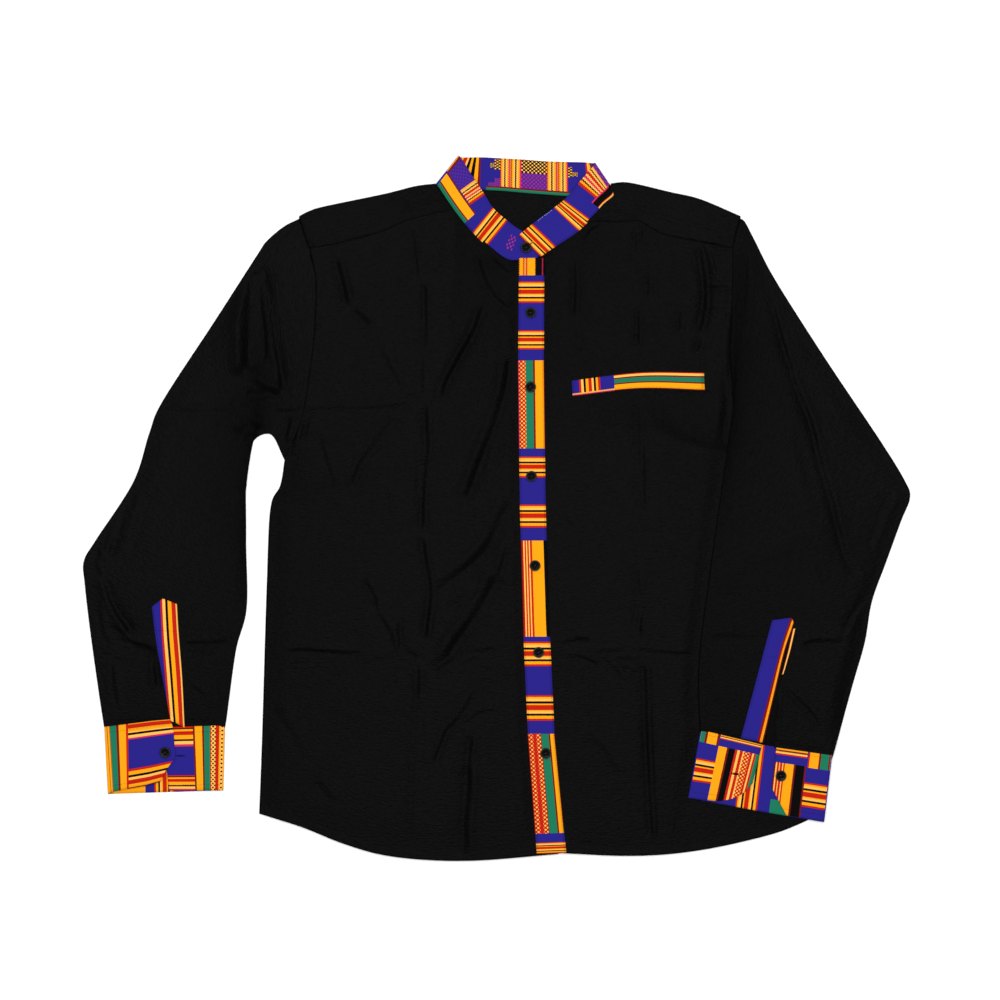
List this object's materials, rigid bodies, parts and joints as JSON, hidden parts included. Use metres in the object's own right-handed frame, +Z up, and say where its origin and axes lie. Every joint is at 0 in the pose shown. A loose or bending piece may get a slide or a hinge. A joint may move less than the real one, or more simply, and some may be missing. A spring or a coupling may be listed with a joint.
{
  "type": "long-sleeve button-up shirt",
  "caption": "Long-sleeve button-up shirt laid flat, front up, with a band collar, curved hem and striped woven trims.",
  "frame": {"origin": "middle of the bounding box's foot, on the surface that the shirt lies on", "axes": "+X to the wearer's left, across the shirt; +Y from hem to collar; +Z up from the surface, out of the shirt's front"},
  "size_m": [0.9282, 0.7902, 0.0108],
  "materials": {
    "black_cotton": "plain-woven black cotton, matt",
    "woven_trim": "hand-woven strip, blue with striped blocks in red, yellow, black, cream and green",
    "black_button": "black, lightly polished"
  },
  "bodies": {
    "root": {"back": "black_cotton", "yoke": "black_cotton", "front_right": "black_cotton", "front_left": "black_cotton", "sleeve_right": "black_cotton", "sleeve_left": "black_cotton", "front_placket": "woven_trim", "collar": "woven_trim", "pocket_welt": "woven_trim", "sleeve_placket_right": "woven_trim", "sleeve_placket_left": "woven_trim", "slit_binding_left": "woven_trim", "cuff_right": "woven_trim", "cuff_left": "woven_trim", "button_collar": "black_button", "button_front_1": "black_button", "button_front_2": "black_button", "button_front_3": "black_button", "button_front_4": "black_button", "button_front_5": "black_button", "button_front_6": "black_button", "button_cuff_right": "black_button", "button_cuff_left": "black_button"}
  },
  "joints": []
}
